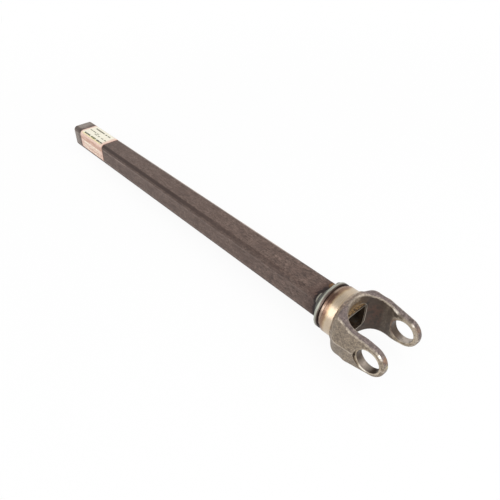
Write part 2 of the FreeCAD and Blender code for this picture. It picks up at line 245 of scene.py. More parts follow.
class Graph:
    """Adds nodes to a shader or geometry tree and joins them.

    Places in millimetres follow the part's frame: x along the shaft, y along the cross bores and z up,
    all from the middle of the fork.
    """

    def __init__(self, tree):
        self.tree = tree

    def add(self, kind, inputs=None, **settings):
        node = self.tree.nodes.new(kind)
        for name, value in settings.items():
            setattr(node, name, value)
        for key, value in (inputs or {}).items():
            self.feed(node.inputs[key], value)
        return node

    def feed(self, socket, value):
        if isinstance(value, bpy.types.NodeSocket):
            self.tree.links.new(value, socket)
        elif isinstance(value, bpy.types.ID):
            socket.default_value = value
        elif socket.type == "RGBA":
            socket.default_value = (*value[:3], 1.0)
        else:
            socket.default_value = value

    def math(self, operation, *values):
        node = self.add("ShaderNodeMath", dict(enumerate(values)), operation=operation)
        return node.outputs[0]

    def together(self, operation, values):
        """The operation done from the first value to the last."""
        result, *others = values
        for value in others:
            result = self.math(operation, result, value)
        return result

    def product(self, *values):
        return self.together("MULTIPLY", values)

    def sum(self, *values):
        return self.together("ADD", values)

    def most(self, *values):
        return self.together("MAXIMUM", values)

    def less(self, value, taken):
        return self.math("SUBTRACT", value, taken)

    def rest(self, share):
        """What is left of 1 after share."""
        return self.less(1.0, share)

    def line(self, value, slope, start):
        """Value times slope, plus start."""
        return self.math("MULTIPLY_ADD", value, slope, start)

    def size(self, value):
        return self.math("ABSOLUTE", value)

    def across(self, first, second):
        """Distance from an axis, from the two places across it."""
        return self.math("SQRT", self.sum(self.product(first, first), self.product(second, second)))

    def spread(self, value, low, high, to_low=0.0, to_high=1.0, smooth=True):
        """Value between low and high, mapped onto 0 to 1 or the given range."""
        kind = "SMOOTHSTEP" if smooth else "LINEAR"
        node = self.add("ShaderNodeMapRange", {"Value": value, "From Min": low, "From Max": high,
                                               "To Min": to_low, "To Max": to_high},
                        interpolation_type=kind)
        return node.outputs[0]

    def blend(self, share, first, second, kind="MIX"):
        node = self.add("ShaderNodeMix", {0: share, 6: first, 7: second}, data_type="RGBA",
                        blend_type=kind)
        return node.outputs[2]

    def coats(self, base, *coats):
        """Base with further colours laid over it in turn, each given as its share and its colour."""
        for share, shade in coats:
            base = self.blend(share, base, shade)
        return base

    def ramp(self, value, stops):
        node = self.add("ShaderNodeValToRGB", {"Fac": value})
        for index, (at, shade) in enumerate(stops):
            stop = node.color_ramp.elements[index] if index < 2 else node.color_ramp.elements.new(at)
            stop.position = at
            stop.color = (*shade, 1.0)
        return node.outputs[0]

    def noise(self, vector, size, detail=3.0, roughness=0.5, stretch=(1, 1, 1)):
        """Noise whose grains measure about size, in metres, drawn out by stretch."""
        scale = [1 / (size * s) for s in stretch]
        moved = self.add("ShaderNodeMapping", {"Vector": vector, "Scale": scale})
        node = self.add("ShaderNodeTexNoise", {"Vector": moved.outputs[0], "Scale": 1.0, "Detail": detail,
                                               "Roughness": roughness})
        return node.outputs[0]

    def fade(self, value, low, high, to_low=0.0, to_high=1.0, smooth=True, origin=0.0):
        """As spread, with low and high in millimetres from origin."""
        return self.spread(value, origin + low * MM, origin + high * MM, to_low, to_high, smooth)

    def near(self, vector, middle, reach, core, most=1.0):
        """Patch about a place, given in millimetres: most inside the core, fading to 0 at reach."""
        away = self.add("ShaderNodeVectorMath", {0: vector, 1: [c * MM for c in middle]},
                        operation="DISTANCE")
        return self.fade(away.outputs["Value"], reach, core, 0, most)

    def patches(self, vector, *places):
        """Strongest of several patches, each with what near takes."""
        return self.most(*[self.near(vector, *place) for place in places])

    def axes(self, vector):
        return self.add("ShaderNodeSeparateXYZ", {"Vector": vector}).outputs

    def vector(self, x=0.0, y=0.0, z=0.0):
        return self.add("ShaderNodeCombineXYZ", {"X": x, "Y": y, "Z": z}).outputs[0]

    def stored(self, name):
        """Value that the mesh holds under that name."""
        return self.add("ShaderNodeAttribute", attribute_name=name).outputs["Fac"]

    def shaded(self, base, lift):
        """Colour times a grey whose three parts are lift."""
        grey = self.add("ShaderNodeCombineColor", {"Red": lift, "Green": lift, "Blue": lift})
        return self.blend(1.0, base, grey.outputs[0], "MULTIPLY")

    def effect(self, name, inputs):
        """One of the shared shader groups, fed with inputs."""
        return self.add("ShaderNodeGroup", inputs, node_tree=shared_groups()[name]).outputs


def node_group(name, kind, inputs, outputs):
    """New node group with its sockets; returns it with its graph, its inputs and its output node."""
    group = bpy.data.node_groups.new(name, kind)
    for socket_name, socket_kind, value in inputs:
        socket = group.interface.new_socket(socket_name, in_out="INPUT",
                                            socket_type="NodeSocket" + socket_kind)
        if value is not None:
            socket.default_value = value
    for socket_name, socket_kind in outputs:
        group.interface.new_socket(socket_name, in_out="OUTPUT", socket_type="NodeSocket" + socket_kind)
    graph = Graph(group)
    return group, graph, graph.add("NodeGroupInput").outputs, graph.add("NodeGroupOutput")


def grain_group():
    """Mottled scale: two colours in soft patches and fine specks, with the height that goes with them."""
    group, g, given, out = node_group(
        "Scale grain", "ShaderNodeTree",
        [("Vector", "Vector", None), ("Light", "Color", None), ("Dark", "Color", None),
         ("Patch Share", "Float", 0.5), ("Speck", "Float", 0.5), ("Stretch", "Float", 1.0)],
        [("Color", "Color"), ("Height", "Float")])
    drawn = g.vector(g.math("DIVIDE", 1.0, given["Stretch"]), 1.0, 1.0)
    at = g.add("ShaderNodeVectorMath", {0: given["Vector"], 1: drawn}, operation="MULTIPLY").outputs[0]
    patches = g.noise(at, 11 * MM, detail=4, roughness=0.6)
    specks = g.noise(at, 1.9 * MM, detail=5, roughness=0.75)
    pits = g.noise(at, 0.6 * MM, detail=2)
    dark = g.product(g.spread(patches, 0.4, 0.62), given["Patch Share"])
    fine = g.product(g.spread(specks, 0.57, 0.43), given["Speck"])
    base = g.blend(g.most(dark, fine), given["Light"], given["Dark"])
    swing = g.product(g.less(specks, 0.5), given["Speck"])
    g.feed(out.inputs["Color"], g.shaded(base, g.line(swing, 1.6, 1.0)))
    g.feed(out.inputs["Height"], g.line(pits, 0.3, specks))
    return group


def wear_group():
    """Mask of rubbed edges, which also paints the highlight along them, from the curvature stored on the
    mesh, broken up by noise.
    """
    group, g, given, out = node_group(
        "Worn edge", "ShaderNodeTree",
        [("Vector", "Vector", None), ("Curvature", "Float", 0.0), ("Start", "Float", 0.2),
         ("Full", "Float", 0.6)],
        [("Mask", "Float")])
    ragged = g.noise(given["Vector"], 2.2 * MM, detail=4, roughness=0.7)
    shifted = g.line(g.less(ragged, 0.5), 0.34, given["Curvature"])
    g.feed(out.inputs["Mask"], g.spread(shifted, given["Start"], given["Full"]))
    return group


def turning_group():
    """Fine tool marks in rings, along the distance given in metres."""
    group, g, given, out = node_group(
        "Tool marks", "ShaderNodeTree", [("Distance", "Float", 0.0)], [("Height", "Float")])
    rings = g.add("ShaderNodeTexNoise", {"W": given["Distance"], "Scale": 5200.0, "Detail": 2.0},
                  noise_dimensions="1D").outputs[0]
    g.feed(out.inputs["Height"], rings)
    return group


def shared_groups():
    if "Scale grain" not in bpy.data.node_groups:
        grain_group()
        wear_group()
        turning_group()
    return bpy.data.node_groups


def emptied(owner):
    """Graph on the node tree of a material or world, with nothing in it yet."""
    owner.use_nodes = True
    owner.node_tree.nodes.clear()
    return Graph(owner.node_tree)


def new_material(name, metallic, roughness, specular=0.5):
    """Material with its Principled shader, and the graph and Object coordinates to build on."""
    material = bpy.data.materials.new(name)
    g = emptied(material)
    shader = g.add("ShaderNodeBsdfPrincipled", {"Metallic": metallic, "Roughness": roughness,
                                                "Specular IOR Level": specular})
    g.add("ShaderNodeOutputMaterial", {"Surface": shader.outputs[0]})
    return material, g, shader, g.add("ShaderNodeTexCoord").outputs["Object"]


def bump(g, shader, height, distance, strength=1.0):
    node = g.add("ShaderNodeBump", {"Height": height, "Distance": distance, "Strength": strength})
    g.feed(shader.inputs["Normal"], node.outputs[0])


def placed(name, data):
    """New object in the scene that shows data."""
    piece = bpy.data.objects.new(name, data)
    bpy.context.scene.collection.objects.link(piece)
    return piece


@contextmanager
def editing(mesh):
    """Opens a mesh for bmesh and writes it back."""
    shape = bmesh.new()
    shape.from_mesh(mesh)
    yield shape
    shape.to_mesh(mesh)
    shape.free()


def values_of(items, key, width=3, kind=np.float32):
    """What each item of a mesh holds under key, as an array with one row for each."""
    values = np.empty(len(items) * width, kind)
    items.foreach_get(key, values)
    return values.reshape(-1, width)


# The forged yoke


def halve_long_edges(shape, longest):
    """Halve the edges longer than longest, one in each triangle at a time, so that no face comes out flat."""
    while True:
        long_edges = [edge for edge in shape.edges if edge.calc_length() > longest]
        if not long_edges:
            break
        long_edges.sort(key=lambda edge: (-edge.calc_length(), edge.index))
        taken, chosen = set(), []
        for edge in long_edges:
            if taken.isdisjoint(edge.link_faces):
                taken.update(edge.link_faces)
                chosen.append(edge)
        bmesh.ops.subdivide_edges(shape, edges=chosen, cuts=1, use_single_edge=True)
        shape.edges.index_update()


def refined_copy(node, name, longest, is_crease):
    """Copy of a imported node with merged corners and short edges, smooth between its creases."""
    mesh = node.data.copy()
    mesh.name = name
    with editing(mesh) as shape:
        bmesh.ops.remove_doubles(shape, verts=shape.verts, dist=SAME_PLACE)
        for face in shape.faces:
            face.smooth = True
        for edge in shape.edges:
            edge.smooth = not is_crease(edge)
    mesh.attributes.remove(mesh.attributes["custom_normal"])
    kept = mesh.attributes.new("kept_normal", "FLOAT_VECTOR", "CORNER")
    kept.data.foreach_set("vector", values_of(mesh.corner_normals, "vector").ravel())
    with editing(mesh) as shape:
        halve_long_edges(shape, longest)
    kept = mesh.attributes["kept_normal"]
    normals = values_of(kept.data, "vector")
    sizes = np.linalg.norm(normals, axis=1, keepdims=True)
    mesh.attributes.remove(kept)
    mesh.normals_split_custom_set(normals / np.maximum(sizes, 1e-6))
    return placed(name, mesh)


def forging_crease(edge):
    """Whether an edge of the yoke is sharp: at a machined corner, or along the parting ridge."""
    if len(edge.link_faces) != 2 or edge.calc_face_angle(0.0) > SHARP_ANGLE:
        return True
    on_parting = all(abs(vert.co.z) < IN_PLANE for vert in edge.verts)
    return on_parting and edge.calc_face_angle(0.0) > PARTING_ANGLE


def blurred(grid, sigma):
    """Grid smoothed along its first three axes by a bell curve that is sigma cells wide."""
    reach = int(math.ceil(3 * sigma))
    taps = np.exp(-0.5 * (np.arange(-reach, reach + 1) / sigma) ** 2)
    taps /= taps.sum()
    for axis in range(3):
        total = np.zeros_like(grid)
        for shift, weight in zip(range(-reach, reach + 1), taps):
            total += weight * np.roll(grid, shift, axis)
        grid = total
    return grid


def store_curvature(mesh, reach):
    """Store on each vertex how far it stands out of the surface round it, and how far it faces Z and Y."""
    points = values_of(mesh.vertices, "co").astype(float)
    normals = values_of(mesh.vertex_normals, "vector")
    triangles = points[values_of(mesh.loops, "vertex_index", 1, np.int32).reshape(-1, 3)]
    first, second = triangles[:, 1] - triangles[:, 0], triangles[:, 2] - triangles[:, 0]
    areas = np.linalg.norm(np.cross(first, second), axis=1) / 2
    centres = triangles.mean(axis=1)
    cell = reach / 2
    low = points.min(axis=0) - 8 * cell
    shape = tuple(np.ceil((points.max(axis=0) - low) / cell).astype(int) + 9)
    grid = np.zeros(shape + (4,))
    where = np.floor((centres - low) / cell).astype(int)
    np.add.at(grid, tuple(where.T), np.column_stack([areas[:, None] * centres, areas]))
    grid = blurred(grid, reach / cell)
    exact = (points - low) / cell - 0.5
    base = np.floor(exact).astype(int)
    part = exact - base
    found = np.zeros((len(points), 4))
    for step in np.ndindex(2, 2, 2):
        weight = np.prod(np.where(step, part, 1 - part), axis=1)
        found += weight[:, None] * grid[tuple((base + step).T)]
    middle = found[:, :3] / np.maximum(found[:, 3:], 1e-15)
    stands = ((points - middle) * normals).sum(axis=1) / reach
    for name, values in (("curvature", stands), ("steepness", np.abs(normals[:, 2])),
                         ("sideways", np.abs(normals[:, 1]))):
        stored = mesh.attributes.new(name, "FLOAT", "POINT")
        stored.data.foreach_set("value", values.astype(np.float32))


def forged_skin(finish):
    """Forged scale: brown-grey, purple-grey on the faces that point up or down, painted shade in the throat,
    and pale on its edges, partly as painted highlight.
    """
    material, g, shader, at = new_material("forged_skin", 0.0, 0.5, specular=0.3)
    x, y, z = g.axes(at)
    side = g.size(y)
    curvature = g.stored("curvature")
    steepness = g.stored("steepness")
    sideways = g.stored("sideways")
    round_nose = g.fade(x, 8, 14)
    up_down_face = g.most(g.spread(steepness, 0.66, 0.86), g.product(round_nose, g.spread(sideways, 0.5, 0.25)))
    cloudy = g.noise(at, 3.6 * MM, detail=5, roughness=0.75)
    pale = g.fade(side, 16, 28, 0.95, 0.5)
    band = g.blend(g.spread(cloudy, 0.44, 0.62, 0, pale), finish.band, scaled(finish.band, 1.75))
    crown = g.product(g.fade(side, 22, 10), g.fade(x, -62, -54, 0, 0.7))
    band = g.blend(crown, band, finish.skin)
    light = g.blend(up_down_face, finish.skin, band)
    dark = g.blend(up_down_face, finish.skin_dark, scaled(finish.band, 0.62))
    grain = g.effect("Scale grain", {"Vector": at, "Light": light, "Dark": dark,
                                     "Patch Share": 0.4, "Speck": 0.62})
    worn = g.effect("Worn edge", {"Vector": at, "Curvature": curvature,
                                  "Start": g.fade(x, 2, 12, 0.17, 0.25),
                                  "Full": g.fade(x, 2, 12, 0.31, 0.44)})["Mask"]

    # Painted shade keeps the throat dark between the ears and darker round the tube's end, with rust beside
    # the tube and straw scale over it
    inward = g.fade(side, 31, 29.3)
    behind = g.fade(x, -10, -24)
    pale_top = g.product(g.fade(z, 25, 27.5), g.fade(y, 12, 4, 0, 0.85))
    upright = g.product(g.spread(steepness, 0.66, 0.36), g.fade(x, -53.4, -52.6))
    throat_shade = g.product(inward, upright, behind, g.rest(pale_top))
    mottle = g.noise(at, 6 * MM, detail=5, roughness=0.7)
    throat = g.blend(g.spread(mottle, 0.35, 0.65), scaled(finish.throat_shade, 0.8), scaled(finish.throat_shade, 1.25))
    rust = g.product(g.fade(g.size(z), 19, 12), g.fade(x, -26, -34), g.spread(mottle, 0.42, 0.6, 0, 0.7))
    tube_seat_shade = g.product(g.fade(g.most(side, g.size(z)), 21, 19.5, 0, 0.85), g.fade(x, -30, -36))
    above = g.less(z, g.product(side, 0.55))
    gilt = g.spread(g.noise(at, 1.8 * MM, detail=4, roughness=0.7), 0.42, 0.54, 0.1, 0.95)
    straw = g.product(g.fade(above, 6, 12), g.fade(x, -46.5, -48.5), gilt, g.fade(y, 15, 5, 0.2, 1.0),
                      g.fade(z, 27, 21, 0.35, 1.0))
    throat = g.coats(throat, (rust, finish.rust), (tube_seat_shade, SEAT_SHADE), (straw, finish.straw))

    # Inside of the far ear: a pale rim round the facing, and dark stains where it meets the throat's rim
    radius = g.across(x, z)
    by_facing = g.product(g.fade(radius, 20.5, 18.8), g.fade(side, 28.9, 28.2), 0.55)
    stained = g.patches(at, ((-13.0, 28.5, 17.8), 4.5, 2.5, 0.8), ((-6.0, 28.4, 19.6), 4.5, 2.0, 0.65),
                        ((5.5, 31.0, 20.2), 4.5, 2.0, 0.6))

    # Rust on the ears' round ends, and a painted yellow highlight on the near one
    rusty = g.patches(at, ((17.0, -31.0, 11.5), 6.0, 2.0), ((16.0, 31.5, 13.0), 6.0, 2.0, 0.7))
    rusty = g.product(rusty, g.spread(mottle, 0.38, 0.6, 0.1, 0.7))
    nose_highlight = g.product(g.near(at, (20.5, -32.0, 4.0), 6.0, 0.5, 0.6), g.spread(cloudy, 0.42, 0.56))

    # Heat of the weld browns the forging's root
    scorched = g.product(g.fade(x, -52, -59), g.spread(mottle, 0.4, 0.62, 0.1, 0.5))

    # Rubbed edges and the flash line along the parting ridge, pale partly as painted highlight, and the rims
    # that stay dark
    outside = g.fade(side, 30, 32)
    flash = g.product(g.fade(g.size(z), 1.2, 0.25), g.most(outside, round_nose),
                      g.spread(mottle, 0.36, 0.6, 0.4, 1.0))
    throat_rim = g.product(inward, behind, g.fade(y, 12, -2, 0.15, 0.7))
    near_rim = g.product(g.fade(y, -31.5, -30), g.fade(y, -8, -14, 0, 0.9))
    round_ring = g.product(outside, g.fade(radius, 20, 18.6), g.fade(x, -5, -10, 0, 0.85))
    far_rim = g.product(g.fade(y, 26, 27), g.fade(y, 33, 31), g.fade(x, -13, -10), g.fade(x, 9, 6, 0, 0.8),
                        g.fade(z, 5, 10))
    spared = g.most(throat_rim, near_rim, round_ring, far_rim)
    rubbed = g.product(g.most(worn, flash), g.rest(spared))

    # Bright glints where an edge catches the light
    glint = g.patches(at, ((11.8, -35.6, 17.2), 3.4, 1.3), ((14.4, -35.9, 14.8), 2.4, 0.8, 0.6),
                      ((10.5, 28.5, 17.4), 1.9, 0.7, 0.7), ((-14.5, 29.0, 21.6), 5.5, 2.5, 0.4))
    glint = g.product(glint, g.spread(curvature, 0.19, 0.26))

    outer = g.shaded(grain["Color"], g.line(g.less(cloudy, 0.5), 2.2, 1.0))
    base = g.coats(outer, (g.product(throat_shade, 0.92), throat), (by_facing, finish.faced),
                   (stained, FORGING_STAIN), (rusty, finish.nose_rust), (nose_highlight, NOSE_HIGHLIGHT),
                   (scorched, SCORCH), (g.product(rubbed, 0.8), finish.worn), (glint, GLINT))
    g.feed(shader.inputs["Base Color"], base)
    bare = g.most(rubbed, glint)
    g.feed(shader.inputs["Metallic"], g.product(bare, 0.6))
    g.feed(shader.inputs["Roughness"], g.spread(bare, 0, 1, 0.5, 0.18, smooth=False))
    bump(g, shader, g.line(flash, 1.2, grain["Height"]), 0.3 * MM, 0.7)
    return material


def turned_hub(finish):
    """Turned land, groove and lip: tool marks, the colours that the weld's heat left in bands, and painted
    shade and highlight on the groove and lip.
    """
    material, g, shader, at = new_material("turned_hub", 1.0, 0.3)
    x, y, z = g.axes(at)
    uneven = g.less(g.noise(at, 22 * MM, detail=3), 0.5)
    fine = g.less(g.noise(at, 5 * MM, detail=3, roughness=0.6), 0.5)
    wander = g.line(uneven, 8 * MM, g.product(fine, 3 * MM))
    on_land = g.math("GREATER_THAN", x, -75.7 * MM)
    along = g.fade(g.line(wander, on_land, x), -88, -58, smooth=False)
    heat_tints_and_shade = g.ramp(along, [(share, tone(*shade)) for share, shade in HEAT_TINTS_AND_SHADE])
    streaks = g.noise(at, 2.6 * MM, detail=4, roughness=0.65, stretch=(0.7, 2.5, 2.5))

    # Purple-brown patches round the front of the groove, on the near side of the top and lower down
    front = g.fade(g.line(fine, 7 * MM, x), -70.4, -72.8)
    near_top = g.product(g.fade(y, -4, -9), g.fade(y, -25, -21))
    spot = g.near(at, (-73.6, -29.2, 14.4), 5.0, 2.6, 0.8)
    patch = g.most(near_top, spot, g.spread(uneven, 0.06, 0.16))
    patch = g.product(patch, front, g.spread(streaks, 0.3, 0.55, 0.7, 0.95), g.fade(x, -80.8, -79.8))

    # Painted shade on the groove's wall on the lip's side and in hollow creases, painted shade on the front
    # corner of the lip, and a painted highlight on its back rim
    curvature = g.stored("curvature")
    rim = g.product(g.spread(curvature, 0.26, 0.4), g.fade(x, -84.8, -85.3), 0.8)
    radius = g.across(y, z)
    wall = g.product(g.fade(radius, 29.92, 30.1), g.fade(x, -81.5, -80.9), g.fade(x, -79.6, -80.4))
    crevice_shade = g.most(wall, g.spread(curvature, -0.16, -0.5))
    near_corner = g.product(g.fade(y, -7, -12), g.fade(y, -28, -24), g.fade(z, 6, 12))
    lip_front_shade = g.product(g.fade(x, -83.9, -83.1), g.fade(x, -79.8, -80.6), near_corner, 0.8)
    crevice_shade = g.product(crevice_shade, g.line(near_corner, -0.6, 1.0))
    base = g.coats(heat_tints_and_shade, (g.spread(streaks, 0.52, 0.75, 0, 0.22), HUB_STREAK), (patch, finish.burnt),
                   (rim, LIP_RIM_HIGHLIGHT), (lip_front_shade, LIP_CORNER_SHADE), (crevice_shade, finish.groove_wall_shade))
    g.feed(shader.inputs["Base Color"], base)
    on_lip = g.fade(x, -80.4, -82, 0, 0.46)
    g.feed(shader.inputs["Roughness"], g.most(g.spread(streaks, 0.3, 0.7, 0.25, 0.34, smooth=False), on_lip))
    bump(g, shader, g.effect("Tool marks", {"Distance": x})["Height"], 0.02 * MM, 0.5)
    return material


def bored_eyes(finish):
    """Bores and facings: machined steel, brown-grey inside the bores and pale on the rings round them, with
    painted light low in the bores, painted highlight and shadow on the near ring and painted shade on the
    inner rings.
    """
    material, g, shader, at = new_material("bored_eyes", 0.55, 0.4)
    x, y, z = g.axes(at)
    stain = g.noise(at, 5 * MM, detail=4, roughness=0.65)
    radius = g.across(x, z)
    ring = g.fade(radius, 15.12, 15.4)
    # Painted light on the lower half of each bore
    near_side = g.math("LESS_THAN", y, 0.0)
    far_bore_lit = g.product(g.fade(z, -4, -12), g.fade(x, -6, 3))
    near_bore_lit = g.product(g.fade(z, -6, -13), g.fade(x, 8, 1, 0.05, 0.4))
    low = g.line(near_side, g.less(near_bore_lit, far_bore_lit), far_bore_lit)
    side = g.size(y)
    # Painted shade on the rings inside the ears
    inside = g.product(g.fade(side, 31, 29), g.fade(x, -8, -13))
    # Painted highlight low on the near ring
    bright = g.near(at, (-3.0, -38.4, -15.3), 7.5, 3.5)
    gilt = g.spread(g.noise(at, 2.2 * MM, detail=4, roughness=0.7), 0.5, 0.64, 0, 0.6)
    wall = g.product(g.fade(radius, 17.1, 17.35), g.fade(side, 38.8, 39.2))
    # Painted shadow of the near ring's step at the parting ridge
    step_shadow = g.near(at, (-17.3, -40.7, -2.0), 4.0, 1.5)
    dull = scaled(finish.bored, 0.6)
    facing = g.coats(finish.faced, (inside, finish.faced_inside_shade), (bright, finish.faced_highlight),
                     (gilt, finish.faced_gold), (wall, scaled(finish.bored, 1.5)), (step_shadow, dull))
    base = g.coats(finish.bored, (low, finish.bore_lit_below), (ring, facing),
                   (g.spread(stain, 0.45, 0.7, 0, 0.5), dull))
    g.feed(shader.inputs["Base Color"], base)
    g.feed(shader.inputs["Roughness"], g.spread(stain, 0.3, 0.7, 0.3, 0.46, smooth=False))
    bump(g, shader, g.effect("Tool marks", {"Distance": y})["Height"], 0.03 * MM, 0.5)
    return material


class SHAFT_OT_yoke(bpy.types.Operator):
    """Finish the forged yoke: scale, rubbed edges, turned hub and bored eyes"""
    bl_idname = "shaft.yoke"
    bl_label = "Forged yoke"

    def execute(self, context):
        finish = context.scene.shaft_yoke
        piece = refined_copy(NODES["yoke"], "forged_yoke", finish.longest_edge, forging_crease)
        mesh = piece.data
        store_curvature(mesh, finish.wear_reach)
        mesh.materials.clear()
        for material in (forged_skin(finish), turned_hub(finish), bored_eyes(finish)):
            mesh.materials.append(material)
        x, y, z = values_of(mesh.polygons, "center").T
        around_bore = np.hypot(x, z)
        bored = around_bore < finish.bore_facing
        bored |= (around_bore < finish.inner_facing) & (np.abs(y) < finish.inner_face)
        index = np.where(x < finish.root_x, 1, np.where(bored, 2, 0)).astype(np.int32)
        mesh.polygons.foreach_set("material_index", index)
        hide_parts("yoke")
        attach(piece, "root")
        return {"FINISHED"}


# The square tube

def tube_scale(finish):
    """Mill scale with drawn streaks, a painted dark reflection on the corners, a burnt zone at the weld and a
    rubbed far end.
    """
    material, g, shader, at = new_material("tube_scale", 0.0, 0.5, specular=0.25)
    x, y, z = g.axes(at)
    along = g.noise(at, 1.6 * MM, detail=4, roughness=0.6, stretch=(14, 1, 1))
    grain = g.effect("Scale grain", {"Vector": at, "Light": finish.scale, "Dark": finish.scale_dark,
                                     "Patch Share": 0.5, "Speck": 0.6, "Stretch": 2.2})
    base = g.blend(g.spread(along, 0.5, 0.68, 0, 0.5), grain["Color"], finish.scale_dark)
    cloudy = g.less(g.noise(at, 6 * MM, detail=6, roughness=0.9, stretch=(1.4, 1, 1)), 0.5)
    cloudy = g.line(cloudy, g.fade(x, -260, -140, 1.8, 3.8), 1.0)
    pale = g.noise(at, 2.4 * MM, detail=4, roughness=0.7, stretch=(5, 1, 1))
    base = g.coats(g.shaded(base, cloudy), (g.spread(pale, 0.56, 0.72, 0, 0.5), TUBE_PALE))

    # Corners, where both distances from the middle pass the end of the flats: a painted dark reflection round
    # them, a pale line beside them on the sides that is scuffed and partly painted highlight, and a painted
    # highlight along the far top corner
    flat_end = finish.side / 2 - finish.corner_radius
    nearest = g.math("MINIMUM", g.size(y), g.size(z))
    below = g.less(g.size(y), g.size(z))
    corner = g.product(g.fade(nearest, 0.2, 2.2, origin=flat_end), g.fade(below, 1.0, 3.0, 1.0, 0.4),
                       g.fade(x, -100, -400, 0.25, 0.95, smooth=False))
    under_corner = g.math("GREATER_THAN", g.size(y), g.size(z))
    rubbed = g.product(g.fade(nearest, -2.6, -0.8, origin=flat_end), under_corner,
                       g.fade(nearest, 0.3, -0.6, origin=flat_end), g.spread(along, 0.42, 0.56, 0.0, 0.9),
                       g.fade(x, -420, -600, 0.25, 1.0))
    far_corner_highlight = g.product(g.math("GREATER_THAN", y, 0.0), g.fade(nearest, 1.2, 2.6, origin=flat_end),
                           g.fade(g.less(z, y), -1.5, 0.0), g.fade(x, -140, -200),
                           g.spread(along, 0.4, 0.6, 0.4, 0.85))
    base = g.coats(base, (corner, finish.corner), (rubbed, TUBE_SCUFF_HIGHLIGHT), (far_corner_highlight, FAR_CORNER_HIGHLIGHT))

    # Heat beside the weld: a burnt zone, with a dark stain, spatter and straw against the bead
    toe = WELD_LOW.x
    ragged = g.less(g.noise(at, 7 * MM, detail=4, roughness=0.65), 0.5)

    def frayed(sway):
        """Place along the shaft, moved to and fro by up to half of sway, in millimetres."""
        return g.line(ragged, sway * MM, x)

    burnt = g.product(g.spread(frayed(16), toe - finish.burnt_length, toe - 1 * MM), 0.6)
    stain = g.fade(frayed(15), -6.5, -4.0, 0, 0.95, origin=toe)
    speck = g.noise(at, 1.5 * MM, detail=3)
    spatter = g.product(g.fade(x, -2.2, -1.2, origin=toe), g.fade(nearest, 8, 12, 0, 0.8))
    straw = g.product(g.fade(frayed(8), -6, -3.5, origin=toe), g.fade(y, 3, 8),
                      g.spread(speck, 0.42, 0.56, 0.0, 0.8))
    base = g.coats(base, (burnt, finish.burnt), (stain, TOE_STAIN), (spatter, SPATTER),
                   (straw, finish.straw))

    # Rubbed far end, faint scratches, and gold and dark brown on the end seen in the throat
    end = g.product(g.fade(frayed(14), 26, 8, origin=TUBE_LOW.x),
                    g.fade(nearest, 0.5, -2, 0.25, 0.8, origin=flat_end),
                    g.fade(frayed(10), -1, -8, 0.15, 1.0, origin=LABEL_LOW.x))
    scratch = g.noise(at, 0.9 * MM, detail=2, roughness=0.8, stretch=(9, 1, 1))
    gilt = g.blend(g.spread(speck, 0.42, 0.56), END_BROWN, END_GOLD)
    base = g.coats(base, (end, g.shaded(finish.worn, cloudy)),
                   (g.spread(scratch, 0.70, 0.78, 0, 0.5), finish.worn), (g.fade(x, -53, -52), gilt))

    # Sawn ends, and painted shade inside the tube
    cut = g.most(g.math("GREATER_THAN", x, TUBE_HIGH.x - IN_PLANE),
                 g.math("LESS_THAN", x, TUBE_LOW.x + IN_PLANE))
    widest = g.most(g.size(y), g.size(z))
    inside = g.product(g.math("LESS_THAN", widest, finish.side / 2 - 2.9 * MM), g.rest(cut), 0.85)
    face = g.blend(g.fade(widest, -1.7, -0.9, origin=finish.side / 2), finish.cut, finish.scale_dark)
    g.feed(shader.inputs["Base Color"], g.coats(base, (inside, TUBE_INSIDE_SHADE), (cut, face)))
    g.feed(shader.inputs["Metallic"], g.product(cut, 0.8))
    g.feed(shader.inputs["Roughness"], g.spread(along, 0.3, 0.7, 0.42, 0.58, smooth=False))
    bump(g, shader, g.line(along, 0.6, grain["Height"]), 0.1 * MM, 0.6)
    return material


class SHAFT_OT_tube(bpy.types.Operator):
    """Finish the square tube with its mill scale"""
    bl_idname = "shaft.tube"
    bl_label = "Square tube"

    def execute(self, context):
        NODES["square_tube"].material_slots[0].material = tube_scale(context.scene.shaft_tube)
        return {"FINISHED"}


# The weld bead

def rounded_square_group():
    """Distance from the shaft's axis to a rounded square, in the direction of an angle."""
    group, g, given, out = node_group(
        "Rounded square", "GeometryNodeTree",
        [("Angle", "Float", 0.0), ("Half", "Float", 0.019), ("Corner", "Float", 0.007)],
        [("Radius", "Float")])
    quarter = math.pi / 2
    turned = g.math("FLOORED_MODULO", g.sum(given["Angle"], quarter / 2), quarter)
    fold = g.size(g.less(turned, quarter / 2))
    cosine, sine = g.math("COSINE", fold), g.math("SINE", fold)
    flat = g.less(given["Half"], given["Corner"])
    on_flat = g.math("DIVIDE", given["Half"], cosine)
    lean = g.product(flat, g.less(cosine, sine))
    square = g.less(g.product(given["Corner"], given["Corner"]), g.product(lean, lean))
    on_corner = g.line(flat, g.sum(cosine, sine), g.math("SQRT", g.most(square, 0.0)))
    past = g.math("GREATER_THAN", g.product(sine, given["Half"]), g.product(flat, cosine))
    difference = g.less(on_corner, on_flat)
    g.feed(out.inputs["Radius"], g.line(past, difference, on_flat))
    return group


